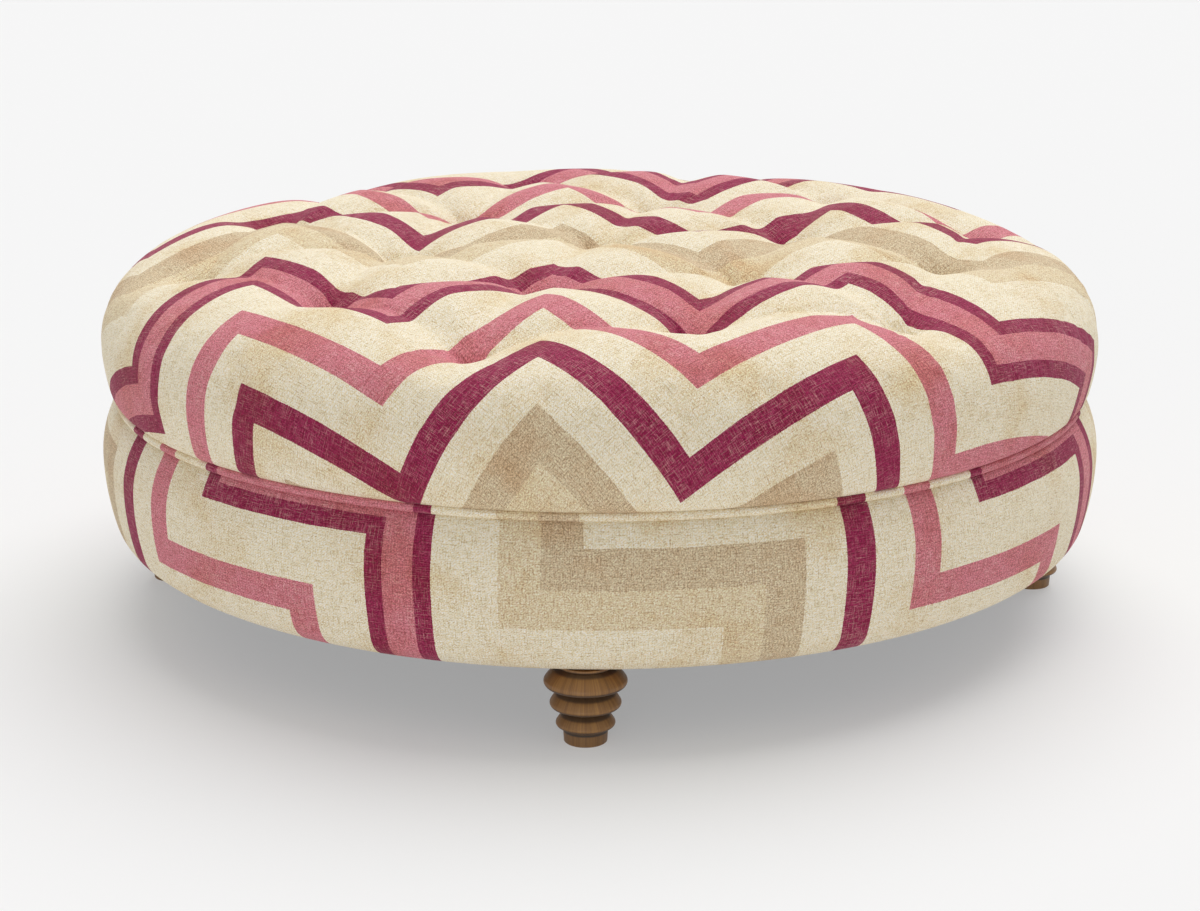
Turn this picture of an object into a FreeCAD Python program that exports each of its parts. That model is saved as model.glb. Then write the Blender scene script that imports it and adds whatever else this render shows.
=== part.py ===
import FreeCAD, Part
import math
import os
import re
import Sketcher

# Large round tuffet: tufted top cushion, piped border and four turned legs on a plywood frame.
# The origin is on the floor under the centre, +Z is up and the front leg stands on -Y.
# Lengths are millimetres and angles degrees.

os.makedirs("parts", exist_ok=True)

# Driving sizes: name, value and what it is
SIZES = (
    ("leg_circle", 491, "radius of the circle that the legs stand on"),
    ("leg_top", 81.2, "height of a leg, up to the dust cover"),
    ("foot_radius", 21.3, "foot of the leg at the floor"),
    ("foot_chamfer", 0.8, "bevel under the foot"),
    ("ankle_radius", 22.2, "top of the foot"),
    ("ankle_height", 14, "height where the foot meets the lowest ring"),
    ("ring_one_radius", 29.2, "lowest ring of the leg"),
    ("ring_one_height", 19.5, "height of its widest line"),
    ("ring_one_round", 3.3, "radius of its rounded rim"),
    ("ring_two_radius", 35.1, "middle ring"),
    ("ring_two_height", 40.2, "height of its widest line"),
    ("ring_two_round", 4, "radius of its rounded rim"),
    ("ring_three_radius", 41, "top ring"),
    ("ring_three_height", 62.7, "height of its widest line"),
    ("ring_three_round", 5, "radius of its rounded rim"),
    ("rim_below", 60, "how far round each rim is rounded below its widest line"),
    ("rim_above", 35, "the same above that line"),
    ("ring_sweep", 42, "radius of each ring's bulging upper face"),
    ("neck_one_radius", 20.5, "neck above the lowest ring"),
    ("neck_one_height", 31.4, "height of that neck"),
    ("neck_two_radius", 25.5, "neck above the middle ring"),
    ("neck_two_height", 53.4, "height of that neck"),
    ("collar_groove_radius", 26.5, "groove under the collar"),
    ("collar_groove_height", 78, "height of that groove"),
    ("collar_radius", 27.8, "collar at the top of the leg"),
    ("collar_height", 79, "lower edge of the collar"),
    ("bolt_radius", 4, "hanger bolt"),
    ("bolt_bottom", 38, "lower end of the bolt, inside the leg"),
    ("bolt_top", 110, "upper end of the bolt"),
    ("nut_barrel", 5.5, "outer radius of the tee nut's barrel"),
    ("nut_depth", 10, "length of the barrel in the base ring"),
    ("nut_flange", 11, "radius of the tee nut's flange"),
    ("nut_flange_thick", 1.5, "thickness of the flange"),
    ("cloth", 1.5, "thickness of the cover cloth"),
    ("dust_cloth", 0.8, "thickness of the dust cover"),
    ("dust_radius", 505, "radius of the dust cover"),
    ("frame_radius", 515, "outer radius of the base ring and the deck"),
    ("board", 18, "plywood thickness of the base ring and the deck"),
    ("base_inner", 400, "inner radius of the base ring"),
    ("base_round", 8, "rounding of the base ring's lower edge, for the cloth"),
    ("deck_top", 240, "top of the deck board"),
    ("hoop_thick", 4, "bent plywood hoop"),
    ("post_side", 45, "side of a frame post"),
    ("post_circle", 490, "radius of the circle of posts"),
    ("post_turn", 22.5, "turn of the first post from +X"),
    ("block_depth", 95, "leg block, from the middle outwards"),
    ("block_width", 90, "leg block, along the rim"),
    ("block_circle", 464, "radius to the middle of a leg block"),
    ("block_recess", 10, "depth of the recess over the tee nut"),
    ("recess_play", 1, "room round the tee nut's flange in that recess"),
    ("rail_tall", 50, "height of a cross rail"),
    ("rail_wide", 40, "width of a cross rail"),
    ("rail_reach", 511, "half length of a cross rail"),
    ("screw_radius", 2.2, "wood screw's shank"),
    ("screw_head", 4.4, "radius of its countersunk head"),
    ("screw_long", 50, "length of the screw"),
    ("screw_tip", 6, "length of the point"),
    ("vent_radius", 12.5, "vent hole in the deck"),
    ("vent_circle", 300, "radius of the circle of vent holes"),
    ("vent_turn", 45, "turn of the first vent from +X"),
    ("tuft_gap", 222, "distance between neighbouring tufts"),
    ("tuft_turn", 15, "turn of the tuft grid from +X"),
    ("tuft_floor", 357, "height of the cloth at the bottom of a tuft"),
    ("tuft_throat", 4, "radius of the cloth at the bottom of a tuft"),
    ("tuft_mouth", 70, "radius where a tuft's funnel runs out"),
    ("funnel_low", 37, "first angle round the pillow's shoulder where a tuft's cones meet"),
    ("funnel_high", 63, "second such angle"),
    ("overcut", 1, "how far a tuft's cutter stands above the top"),
    ("tuft_hole", 6, "hole in the deck for the twine"),
    ("twine_radius", 1.3, "tuft twine"),
    ("toggle_radius", 4, "dowel toggle that the twine holds under the deck"),
    ("toggle_long", 40, "length of a toggle"),
    ("seat_radius", 550, "widest radius of the top cushion"),
    ("seat_mid", 323.5, "height of the widest line"),
    ("seat_top", 411.3, "height of the pillows between the tufts"),
    ("shoulder_sweep", 37, "radius of the cushion's shoulder"),
    ("haunch_sweep", 340, "radius from the shoulder to the flat of the top"),
    ("flank_sweep", 294.5, "radius of the side below the widest line"),
    ("tuck_sweep", 14, "radius where the side turns in to the seam"),
    ("tuck_height", 246, "height where the cover meets the piping"),
    ("seat_foot", 500, "radius of the foam's foot on the deck"),
    ("foam_edge", 520, "outer radius of the foam's underside, over the piping's flange"),
    ("wadding_edge", 524, "outer radius of the wadding's underside"),
    ("wadding", 12, "thickness of the wadding layers"),
    ("piping_circle", 533, "radius of the piping's ring"),
    ("piping_height", 241.5, "height of the piping's centre"),
    ("piping_radius", 4.5, "radius of the piping bead"),
    ("cord_radius", 2.8, "radius of the cord inside"),
    ("flange_inner", 505, "inner radius of the piping's flange"),
    ("flange_thick", 1.2, "thickness of the flange"),
    ("border_radius", 552.5, "widest radius of the border"),
    ("border_mid", 178.5, "height of the border's widest line"),
    ("border_top", 237, "height where the border cover meets the piping"),
    ("border_floor", 82, "height of the border cover's underside"),
    ("upper_sweep", 103.5, "radius from the widest line up to the seam"),
    ("corner_sweep", 36.5, "radius where the border turns under"),
    ("corner_circle", 507.5, "radius to the centre of that turn"),
    ("turn_under", 440, "inner radius of the border cover under the base"),
)

doc = FreeCAD.newDocument("tuffet")
sheet = doc.addObject("Spreadsheet::Sheet", "dims")
for row, (name, number, meaning) in enumerate(SIZES, 1):
    sheet.set("A%d" % row, meaning)
    sheet.set("B%d" % row, str(number))
    sheet.setAlias("B%d" % row, name)
doc.recompute()
ALIASES = {name for name, number, meaning in SIZES}
PARTS = []


def bound(words):
    """The expression for other objects, with each size's name led to the sheet."""
    return re.sub(r"[a-z_]+", lambda m: "dims." + m[0] if m[0] in ALIASES else m[0], words)


def size(words):
    return float(sheet.evalExpression(bound(words)))


def tie(thing, **sizes):
    """Bind properties of an object to expressions over the sheet. A double underscore stands for a dot."""
    for name, words in sizes.items():
        thing.setExpression(name.replace("__", "."), bound(words))
    return thing


def keep(thing, name):
    """Make an object one of the tuffet's pieces."""
    thing.Label = name
    PARTS.append(thing)
    return thing


# Formulas that several pieces share
BASE_FLOOR = "(border_floor + cloth)"
BASE_TOP = "(border_floor + cloth + board)"
DECK_FLOOR = "(deck_top - board)"
RAIL_FLOOR = "(deck_top - board - rail_tall)"
# Centre of the haunch arc, from its tangency with the shoulder arc
HAUNCH_DROP = "(seat_mid - seat_top + haunch_sweep)"
HAUNCH_CENTRE = ("(seat_radius - shoulder_sweep"
                 " - sqrt((haunch_sweep - shoulder_sweep)^2 - " + HAUNCH_DROP + "^2))")
# Centre of the tuck arc, from its tangency with the flank arc
TUCK_RISE = "(seat_mid - tuck_height - tuck_sweep)"
TUCK_CENTRE = "(seat_radius - flank_sweep + sqrt((flank_sweep - tuck_sweep)^2 - " + TUCK_RISE + "^2))"
# The border's long arc, tangent to its widest line and to the turn under it
CORNER_HEIGHT = "(border_floor + corner_sweep)"
CORNER_IN = "(border_radius - corner_circle)"
CORNER_RISE = "(border_mid - " + CORNER_HEIGHT + ")"
SIDE_SWEEP = ("((" + CORNER_IN + "^2 + " + CORNER_RISE + "^2 - corner_sweep^2)"
              " / (2 * (" + CORNER_IN + " - corner_sweep)))")


def sketch_on(body, role):
    """A sketch attached to one of the body's own origin planes."""
    sketch = body.newObject("Sketcher::SketchObject", body.Name + "_sketch")
    plane = next(item for item in body.Origin.OriginFeatures if item.Role == role)
    sketch.AttachmentSupport = [(plane, "")]
    sketch.MapMode = "FlatFace"
    return sketch


# How a sketch numbers its own axes and the points of a curve
ACROSS_AXIS, UPRIGHT_AXIS = -1, -2
START, END, CENTRE = 1, 2, 3


def fix_point(sketch, curve, end, x, y):
    """Hold one point of a curve at x, y from the sketch's origin."""
    for kind, axis, words in (("DistanceX", UPRIGHT_AXIS, x), ("DistanceY", ACROSS_AXIS, y)):
        if size(words) == 0:
            sketch.addConstraint(Sketcher.Constraint("PointOnObject", curve, end, axis))
        else:
            origin = (ACROSS_AXIS, START)
            index = sketch.addConstraint(Sketcher.Constraint(kind, *origin, curve, end, size(words)))
            sketch.setExpression("Constraints[%d]" % index, bound(words))


def outline(body, role, corners):
    """A closed outline. A corner is (x, y), or (x, y, turn, radius) where an arc runs on from it."""
    sketch = sketch_on(body, role)
    points = [FreeCAD.Vector(size(corner[0]), size(corner[1]), 0) for corner in corners]
    ends = []
    for index, corner in enumerate(corners):
        here = points[index]
        there = points[(index + 1) % len(points)]
        if len(corner) == 2:
            curve = sketch.addGeometry(Part.LineSegment(here, there), False)
            ends.append((curve, START, END))
            continue
        turn, radius = corner[2], size(corner[3])
        chord = there - here
        side = FreeCAD.Vector(-chord.y, chord.x, 0).normalize()
        reach = math.sqrt(radius ** 2 - (chord.Length / 2) ** 2)
        centre = (here + there) * 0.5 + side * (reach if turn == "left" else -reach)
        first, last = (here, there) if turn == "left" else (there, here)
        angles = [math.atan2(point.y - centre.y, point.x - centre.x) for point in (first, last)]
        circle = Part.Circle(centre, FreeCAD.Vector(0, 0, 1), radius)
        curve = sketch.addGeometry(Part.ArcOfCircle(circle, angles[0], angles[1]), False)
        constraint = sketch.addConstraint(Sketcher.Constraint("Radius", curve, radius))
        sketch.setExpression("Constraints[%d]" % constraint, bound(corner[3]))
        ends.append((curve, START, END) if turn == "left" else (curve, END, START))
    for index, (curve, start, end) in enumerate(ends):
        next_curve, next_start, _ = ends[(index + 1) % len(ends)]
        sketch.addConstraint(Sketcher.Constraint("Coincident", curve, end, next_curve, next_start))
        fix_point(sketch, curve, start, corners[index][0], corners[index][1])
    return sketch


def circle_on(body, x, y, radius):
    """A circle sketched on the body's XY plane."""
    sketch = sketch_on(body, "XY_Plane")
    centre = FreeCAD.Vector(size(x), size(y), 0)
    curve = sketch.addGeometry(Part.Circle(centre, FreeCAD.Vector(0, 0, 1), size(radius)), False)
    index = sketch.addConstraint(Sketcher.Constraint("Radius", curve, size(radius)))
    sketch.setExpression("Constraints[%d]" % index, bound(radius))
    fix_point(sketch, curve, CENTRE, x, y)
    return sketch


def feature(body, kind, sketch, **sizes):
    """A sketch-based feature on a body, made the body's tip."""
    made = body.newObject("PartDesign::" + kind, body.Name + "_" + kind.lower())
    made.Profile = sketch
    if kind in ("Revolution", "Groove"):
        made.ReferenceAxis = (sketch, ["V_Axis"])
        made.Angle = 360
    tie(made, **sizes)
    body.Tip = made
    doc.recompute()
    return made


def around(body, original, count):
    """Repeat a feature evenly round the body's Z axis."""
    pattern = body.newObject("PartDesign::PolarPattern", body.Name + "_around")
    pattern.Originals = [original]
    axis = next(item for item in body.Origin.OriginFeatures if item.Role == "Z_Axis")
    pattern.Axis = (axis, [""])
    pattern.Angle = 360
    pattern.Occurrences = count
    body.Tip = pattern
    doc.recompute()
    return pattern


def body_of(name):
    return doc.addObject("PartDesign::Body", name)


def revolved(name, corners):
    body = body_of(name)
    feature(body, "Revolution", outline(body, "XZ_Plane", corners))
    return body


def shift(sketch, x, y):
    """Move a sketch on the XZ plane so that its upright axis stands at x, y."""
    return tie(sketch, AttachmentOffset__Base__x=x, AttachmentOffset__Base__z="-(" + y + ")")


def cylinder(name, radius, low, high, x="0", y="0"):
    made = doc.addObject("Part::Cylinder", name)
    return tie(made, Radius=radius, Height="(" + high + ") - (" + low + ")",
               Placement__Base__x=x, Placement__Base__y=y, Placement__Base__z=low)


def timber(name, depth, width, low, high, circle, angle):
    """A box whose middle is at an angle on a circle round the Z axis, its depth along the radius."""
    made = doc.addObject("Part::Box", name)
    made.Placement.Rotation = FreeCAD.Rotation(FreeCAD.Vector(0, 0, 1), size(angle))
    inner = "(" + circle + " - " + depth + " / 2)"
    side = "(" + width + " / 2)"
    cosine, sine = " * cos(" + angle + ")", " * sin(" + angle + ")"
    return tie(made, Length=depth, Width=width, Height="(" + high + ") - (" + low + ")",
               Placement__Base__x=inner + cosine + " + " + side + sine,
               Placement__Base__y=inner + sine + " - " + side + cosine,
               Placement__Base__z=low)


def cut(name, base, tool):
    made = doc.addObject("Part::Cut", name)
    made.Base = base
    made.Tool = tool
    return made


def group(name, members):
    """Several like solids in one piece."""
    made = doc.addObject("Part::Compound", name)
    made.Links = members
    return made


def on_circle(circle, angle):
    """The place at an angle on a circle round the Z axis."""
    return "%s * cos(%s)" % (circle, angle), "%s * sin(%s)" % (circle, angle)


# The tuft grid: its centre, six neighbours, then six corners and six mids of the outer hexagon.
# Each ring gives its distance from the centre and its first tuft's angle.
TUFTS_ROUND = 6
TUFT_RINGS = (
    ("tuft_gap", "tuft_turn"),
    ("(2 * tuft_gap)", "tuft_turn"),
    ("(tuft_gap * sqrt(3))", "(tuft_turn + 30)"),
)


def tuft_places():
    places = [("0", "0")]
    for distance, angle in TUFT_RINGS:
        for step in range(TUFTS_ROUND):
            places.append(on_circle(distance, "(%s + %d)" % (angle, step * 360 // TUFTS_ROUND)))
    return places


# Posts and vents stand evenly round the centre, each ring from its first one's place
POST_COUNT = 8
FIRST_POST = on_circle("post_circle", "post_turn")
VENT_COUNT = 6
FIRST_VENT = on_circle("vent_circle", "vent_turn")

# Legs: turned, with three tapering rings, bored for the hanger bolt
LEG_NAMES = (("leg_right", 0), ("leg_back", 90), ("leg_left", 180), ("leg_front", 270))
LEG_COUNT = len(LEG_NAMES)


def leg_ring(ring):
    """The start of a ring's rounded rim, below its widest line, and of its bulging upper face."""
    rim = ring + "_round"
    point = "%s_radius - {0} + {0} * cos({1})" % ring, "%s_height {2} {0} * sin({1})" % ring
    low = [words.format(rim, "rim_below", "-") for words in point]
    high = [words.format(rim, "rim_above", "+") for words in point]
    return (*low, "left", rim), (*high, "left", "ring_sweep")


LEG_OUTLINE = (
    ("0", "0"),
    ("foot_radius - foot_chamfer", "0"),
    ("foot_radius", "foot_chamfer"),
    ("ankle_radius", "ankle_height"),
    *leg_ring("ring_one"),
    ("neck_one_radius", "neck_one_height"),
    *leg_ring("ring_two"),
    ("neck_two_radius", "neck_two_height"),
    *leg_ring("ring_three"),
    ("collar_groove_radius", "collar_groove_height"),
    ("collar_radius", "collar_height"),
    ("collar_radius", "leg_top"),
    ("0", "leg_top"),
)


def turned_leg(name, angle):
    body = revolved(name, LEG_OUTLINE)
    bore = outline(body, "XZ_Plane", (
        ("0", "bolt_bottom"), ("bolt_radius", "bolt_bottom"), ("bolt_radius", "leg_top"), ("0", "leg_top")))
    feature(body, "Groove", bore)
    x, y = on_circle("leg_circle", angle)
    return tie(body, Placement__Base__x=x, Placement__Base__y=y)


for leg_name, leg_angle in LEG_NAMES:
    keep(turned_leg(leg_name, leg_angle), leg_name)


def ring_of(name, corners, circle, count):
    """Like turned pieces, evenly round a circle, each its own solid."""
    body = body_of(name)
    body.AllowCompound = True
    sketch = shift(outline(body, "XZ_Plane", corners), circle, "0")
    around(body, feature(body, "Revolution", sketch), count)
    return body


keep(ring_of("hanger_bolts", (
    ("0", "bolt_bottom"), ("bolt_radius", "bolt_bottom"), ("bolt_radius", "bolt_top"), ("0", "bolt_top"),
), "leg_circle", LEG_COUNT), "hanger_bolts")
keep(ring_of("tee_nuts", (
    ("bolt_radius", BASE_TOP + " - nut_depth"),
    ("nut_barrel", BASE_TOP + " - nut_depth"),
    ("nut_barrel", BASE_TOP),
    ("nut_flange", BASE_TOP),
    ("nut_flange", BASE_TOP + " + nut_flange_thick"),
    ("bolt_radius", BASE_TOP + " + nut_flange_thick"),
), "leg_circle", LEG_COUNT), "tee_nuts")


# Base ring: plywood, its lower outer edge rounded, bored for the tee nuts and the post screws
def base_ring():
    body = revolved("base_ring", (
        ("base_inner", BASE_FLOOR),
        ("frame_radius - base_round", BASE_FLOOR, "left", "base_round"),
        ("frame_radius", BASE_FLOOR + " + base_round"),
        ("frame_radius", BASE_TOP),
        ("base_inner", BASE_TOP),
    ))
    nut_hole = outline(body, "XZ_Plane", (
        ("0", BASE_FLOOR), ("bolt_radius", BASE_FLOOR), ("bolt_radius", BASE_TOP + " - nut_depth"),
        ("nut_barrel", BASE_TOP + " - nut_depth"), ("nut_barrel", BASE_TOP), ("0", BASE_TOP)))
    around(body, feature(body, "Groove", shift(nut_hole, "leg_circle", "0")), LEG_COUNT)
    screw_hole = outline(body, "XZ_Plane", (
        ("0", BASE_FLOOR), ("screw_head", BASE_FLOOR),
        ("screw_radius", BASE_FLOOR + " + screw_head - screw_radius"),
        ("screw_radius", BASE_TOP), ("0", BASE_TOP)))
    around(body, feature(body, "Groove", shift(screw_hole, *FIRST_POST)), POST_COUNT)
    return body


keep(base_ring(), "base_ring")


# Deck board: plywood disc with a hole for each tuft, six vents and countersunk screw holes
def deck_board():
    body = body_of("deck_board")
    disc = circle_on(body, "0", "0", "frame_radius")
    tie(disc, AttachmentOffset__Base__z=DECK_FLOOR)
    feature(body, "Pad", disc, Length="board")
    holes = [("0", "0", "tuft_hole", 1)]
    holes += [on_circle(*ring) + ("tuft_hole", TUFTS_ROUND) for ring in TUFT_RINGS]
    holes += [FIRST_VENT + ("vent_radius", VENT_COUNT)]
    for x, y, radius, count in holes:
        sketch = circle_on(body, x, y, radius)
        tie(sketch, AttachmentOffset__Base__z="deck_top")
        hole = feature(body, "Pocket", sketch, Length="board")
        if count > 1:
            around(body, hole, count)
    screw_hole = outline(body, "XZ_Plane", (
        ("0", DECK_FLOOR), ("screw_radius", DECK_FLOOR),
        ("screw_radius", "deck_top - screw_head + screw_radius"),
        ("screw_head", "deck_top"), ("0", "deck_top")))
    around(body, feature(body, "Groove", shift(screw_hole, *FIRST_POST)), POST_COUNT)
    return body


keep(deck_board(), "deck_board")


# Screws: countersunk, those of the deck head up and those of the base head down
def screws(name, head, way):
    """A ring of screws. The head is level with a face, and way is + or - along Z towards the point."""
    body = body_of(name)
    body.AllowCompound = True
    along = head + " " + way + " "
    section = outline(body, "XZ_Plane", (
        ("0", head),
        ("screw_head", head),
        ("screw_radius", along + "(screw_head - screw_radius)"),
        ("screw_radius", along + "(screw_long - screw_tip)"),
        ("0", along + "screw_long"),
    ))
    around(body, feature(body, "Revolution", shift(section, *FIRST_POST)), POST_COUNT)
    return body


deck_screws = keep(screws("deck_screws", "deck_top", "-"), "deck_screws")
base_screws = keep(screws("base_screws", BASE_FLOOR, "+"), "base_screws")


# Frame posts: square timber between base ring and deck, with a screw in each end
for number in range(POST_COUNT):
    post_name = "frame_post_%d" % (number + 1)
    post_angle = "(post_turn + %d)" % (number * 360 // POST_COUNT)
    post = timber(post_name + "_blank", "post_side", "post_side", BASE_TOP, DECK_FLOOR,
                  "post_circle", post_angle)
    bored = cut(post_name + "_upper_bore", post, deck_screws)
    keep(cut(post_name + "_bored", bored, base_screws), post_name)


# Leg blocks: glued over each leg, recessed for the tee nut, carrying the rails' ends
for leg_name, leg_angle in LEG_NAMES:
    block_name = leg_name.replace("leg_", "leg_block_")
    block = timber(block_name + "_blank", "block_depth", "block_width", BASE_TOP, RAIL_FLOOR,
                   "block_circle", str(leg_angle))
    recess = cylinder(block_name + "_recess", "nut_flange + recess_play",
                      BASE_TOP, BASE_TOP + " + block_recess", *on_circle("leg_circle", leg_angle))
    keep(cut(block_name + "_recessed", block, recess), block_name)


# Cross rails: halved over each other at the centre, bored there for the middle tuft's twine
def cross_rail(name, angle, notch_low, notch_high):
    rail = timber(name + "_blank", "(2 * rail_reach)", "rail_wide", RAIL_FLOOR, DECK_FLOOR, "0", angle)
    notch = timber(name + "_notch", "rail_wide", "rail_wide", notch_low, notch_high, "0", angle)
    bore = cylinder(name + "_bore", "tuft_hole", RAIL_FLOOR, DECK_FLOOR)
    return cut(name, cut(name + "_halved", rail, notch), bore)


HALVING = "(deck_top - board - rail_tall / 2)"
keep(cross_rail("rail_lower", "0", HALVING, DECK_FLOOR), "cross_rail_lower")
keep(cross_rail("rail_upper", "90", RAIL_FLOOR, HALVING), "cross_rail_upper")

# Side hoop: thin plywood bent round the deck, the posts and the base ring
keep(revolved("side_hoop", (
    ("frame_radius", BASE_FLOOR + " + base_round"),
    ("frame_radius + hoop_thick", BASE_FLOOR + " + base_round"),
    ("frame_radius + hoop_thick", "deck_top"),
    ("frame_radius", "deck_top"),
)), "side_hoop")


# Border: the same three arcs for each layer, inset from the cover's outer face
HOOP = "(frame_radius + hoop_thick)"


def border_face(inset, low_end, top_end):
    """The border's outer line from its lower end up to its top end, moved inwards by an inset."""
    reach = "(" + SIDE_SWEEP + " - " + inset + ")"
    share = "(" + reach + " / (" + SIDE_SWEEP + " - corner_sweep))"
    turn_x = "border_radius - " + SIDE_SWEEP + " + " + share + " * (" + SIDE_SWEEP + " - " + CORNER_IN + ")"
    turn_z = "border_mid - " + share + " * " + CORNER_RISE
    return (
        low_end + ("left", "corner_sweep - " + inset),
        (turn_x, turn_z, "left", reach),
        ("border_radius - " + inset, "border_mid", "left", "upper_sweep - " + inset),
        top_end,
    )


def border_top_end(inset):
    """The upper end of a layer's face, level with the piping."""
    return ("border_radius - upper_sweep"
            " + sqrt((upper_sweep - " + inset + ")^2 - (border_top - border_mid)^2)"), "border_top"


def border_low_end(inset):
    """The lower end of a padding's face, where its turn under meets the hoop's line."""
    fall = "sqrt((corner_sweep - " + inset + ")^2 - (" + HOOP + " - corner_circle)^2)"
    return HOOP, CORNER_HEIGHT + " - " + fall


PADDING_IN = "(cloth + wadding)"
# The foam's face runs out on the hoop below the piping
foam_top = ("border_mid"
            " + sqrt((upper_sweep - " + PADDING_IN + ")^2 - (" + HOOP + " - border_radius + upper_sweep)^2)")
foam_face = border_face(PADDING_IN, border_low_end(PADDING_IN), (HOOP, foam_top))
border_foam = keep(revolved("border_core", foam_face), "border_foam")
wadding_face = border_face("cloth", border_low_end("cloth"), border_top_end("cloth"))
border_padding = revolved("border_padding", wadding_face + ((HOOP, "border_top"),))
keep(cut("border_layer", border_padding, border_foam), "border_wadding")


def border_shell():
    outer = border_face("0", ("corner_circle", "border_floor"), border_top_end("0"))
    inner = border_face("cloth", ("corner_circle", BASE_FLOOR), border_top_end("cloth"))
    # The inner face runs back down: each arc starts at its other end and turns the other way
    back = [inner[3]] + [inner[step][:2] for step in (2, 1, 0)]
    for step in range(3):
        back[step] += ("right", inner[2 - step][3])
    return revolved("border_shell", (
        ("turn_under", "border_floor"),) + outer + tuple(back) + (("turn_under", BASE_FLOOR),))


def bolt_holes(name, low, high):
    """Four holes for the hanger bolts, as one tool."""
    return group(name, [
        cylinder("%s_%d" % (name, angle), "bolt_radius", low, high, *on_circle("leg_circle", angle))
        for _, angle in LEG_NAMES])


border_holes = bolt_holes("border_holes", "border_floor", BASE_FLOOR)
keep(cut("border_cloth", border_shell(), border_holes), "border_cover")
DUST_FLOOR = "(border_floor - dust_cloth)"
dust_disc = cylinder("dust_disc", "dust_radius", DUST_FLOOR, "border_floor")
dust_holes = bolt_holes("dust_holes", DUST_FLOOR, "border_floor")
keep(cut("dust_cloth", dust_disc, dust_holes), "dust_cover")


# Tuft twines and the toggles that hold them under the deck, and under the rails at the centre
def tuft_gear():
    twines, toggles = [], []
    for number, (x, y) in enumerate(tuft_places(), 1):
        floor = RAIL_FLOOR if number == 1 else DECK_FLOOR
        low = "(" + floor + " - 2 * toggle_radius)"
        twine = cylinder("twine_%d" % number, "twine_radius", low, "tuft_floor - cloth", x, y)
        dowel = doc.addObject("Part::Cylinder", "dowel_%d" % number)
        dowel.Placement.Rotation = FreeCAD.Rotation(FreeCAD.Vector(0, 1, 0), 90)
        tie(dowel, Radius="toggle_radius", Height="toggle_long", Placement__Base__x=x + " - toggle_long / 2",
            Placement__Base__y=y, Placement__Base__z=floor + " - toggle_radius")
        twines.append(twine)
        toggles.append(cut("toggle_%d" % number, dowel, twine))
    return group("twines", twines), group("toggles", toggles)


twines, toggles = tuft_gear()
keep(twines, "tuft_twines")
keep(toggles, "tuft_toggles")


# Top cushion: each layer is the same form, inset from the cover's outer face, with a funnel at each tuft
def seat_face(inset):
    """The cushion's outer line from the tuck at the seam, round the side, to the centre of the top."""
    haunch = "(haunch_sweep - " + inset + ")"
    haunch_share = "(" + haunch + " / (haunch_sweep - shoulder_sweep))"
    shoulder_in = "(seat_radius - shoulder_sweep - " + HAUNCH_CENTRE + ")"
    shoulder_x = HAUNCH_CENTRE + " + " + haunch_share + " * " + shoulder_in
    shoulder_z = "seat_top - haunch_sweep + " + haunch_share + " * " + HAUNCH_DROP
    flank = "(flank_sweep - " + inset + ")"
    flank_share = "(" + flank + " / (flank_sweep - tuck_sweep))"
    tuck_in = "(" + TUCK_CENTRE + " - seat_radius + flank_sweep)"
    flank_x = "seat_radius - flank_sweep + " + flank_share + " * " + tuck_in
    flank_z = "seat_mid - " + flank_share + " * " + TUCK_RISE
    return (
        (TUCK_CENTRE, "tuck_height + " + inset, "left", "tuck_sweep - " + inset),
        (flank_x, flank_z, "left", flank),
        ("seat_radius - " + inset, "seat_mid", "left", "shoulder_sweep - " + inset),
        (shoulder_x, shoulder_z, "left", haunch),
        (HAUNCH_CENTRE, "seat_top - " + inset),
        ("0", "seat_top - " + inset),
    )


def funnel(body, inset, x, y):
    """Cut one tuft's funnel: three cones that open from its throat over the pillow's round shoulder."""
    depth = "(seat_top - tuft_floor)"
    sweep = "(((tuft_mouth - tuft_throat)^2 + " + depth + "^2) / (2 * " + depth + "))"
    curve = "(" + sweep + " - " + inset + ")"
    floor = "(tuft_floor - " + inset + ")"
    throat = "(tuft_mouth - sqrt(" + curve + "^2 - (" + floor + " - seat_top + " + sweep + ")^2))"
    across = "tuft_mouth - " + curve + " * cos(%s)"
    rise = "seat_top - " + sweep + " + " + curve + " * sin(%s)"
    cones = tuple((across % angle, rise % angle) for angle in ("funnel_low", "funnel_high"))
    sketch = outline(body, "XZ_Plane", (
        ("0", floor),
        (throat, floor),
        *cones,
        ("tuft_mouth", "seat_top - " + inset),
        ("tuft_mouth", "seat_top + overcut"),
        ("0", "seat_top + overcut"),
    ))
    return feature(body, "Groove", shift(sketch, x, y))


def seat_bulk(name, inset, foot):
    body = revolved(name, foot + seat_face(inset))
    funnel(body, inset, "0", "0")
    for ring in TUFT_RINGS:
        around(body, funnel(body, inset, *on_circle(*ring)), TUFTS_ROUND)
    return body


def padding_foot(edge):
    """The underside of the padding: on the deck, then on the piping's flange, then up to the tuck."""
    step = "deck_top + flange_thick"
    return (("0", "deck_top"), ("seat_foot", "deck_top"), ("seat_foot", step), (edge, step))


seat_outer = seat_bulk("seat_outer", "0", (("0", "tuck_height"),))
seat_padding = seat_bulk("seat_padding", "cloth", padding_foot("wadding_edge"))
seat_core = seat_bulk("seat_core", PADDING_IN, padding_foot("foam_edge"))
keep(cut("top_cloth", seat_outer, seat_padding), "top_cover")
keep(cut("seat_layer", cut("seat_shell", seat_padding, seat_core), twines), "seat_wadding")
keep(cut("seat_slab", seat_core, twines), "seat_foam")


# Piping: a cord in a bead of the cover's cloth, whose flange is stapled down on the deck's rim
def cord_ring():
    made = doc.addObject("Part::Torus", "cord_ring")
    return tie(made, Radius1="piping_circle", Radius2="cord_radius", Placement__Base__z="piping_height")


# The bead's section has flats, so that its surfaces stay plain cones round the whole seam
BEAD_FLATS = 16


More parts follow.
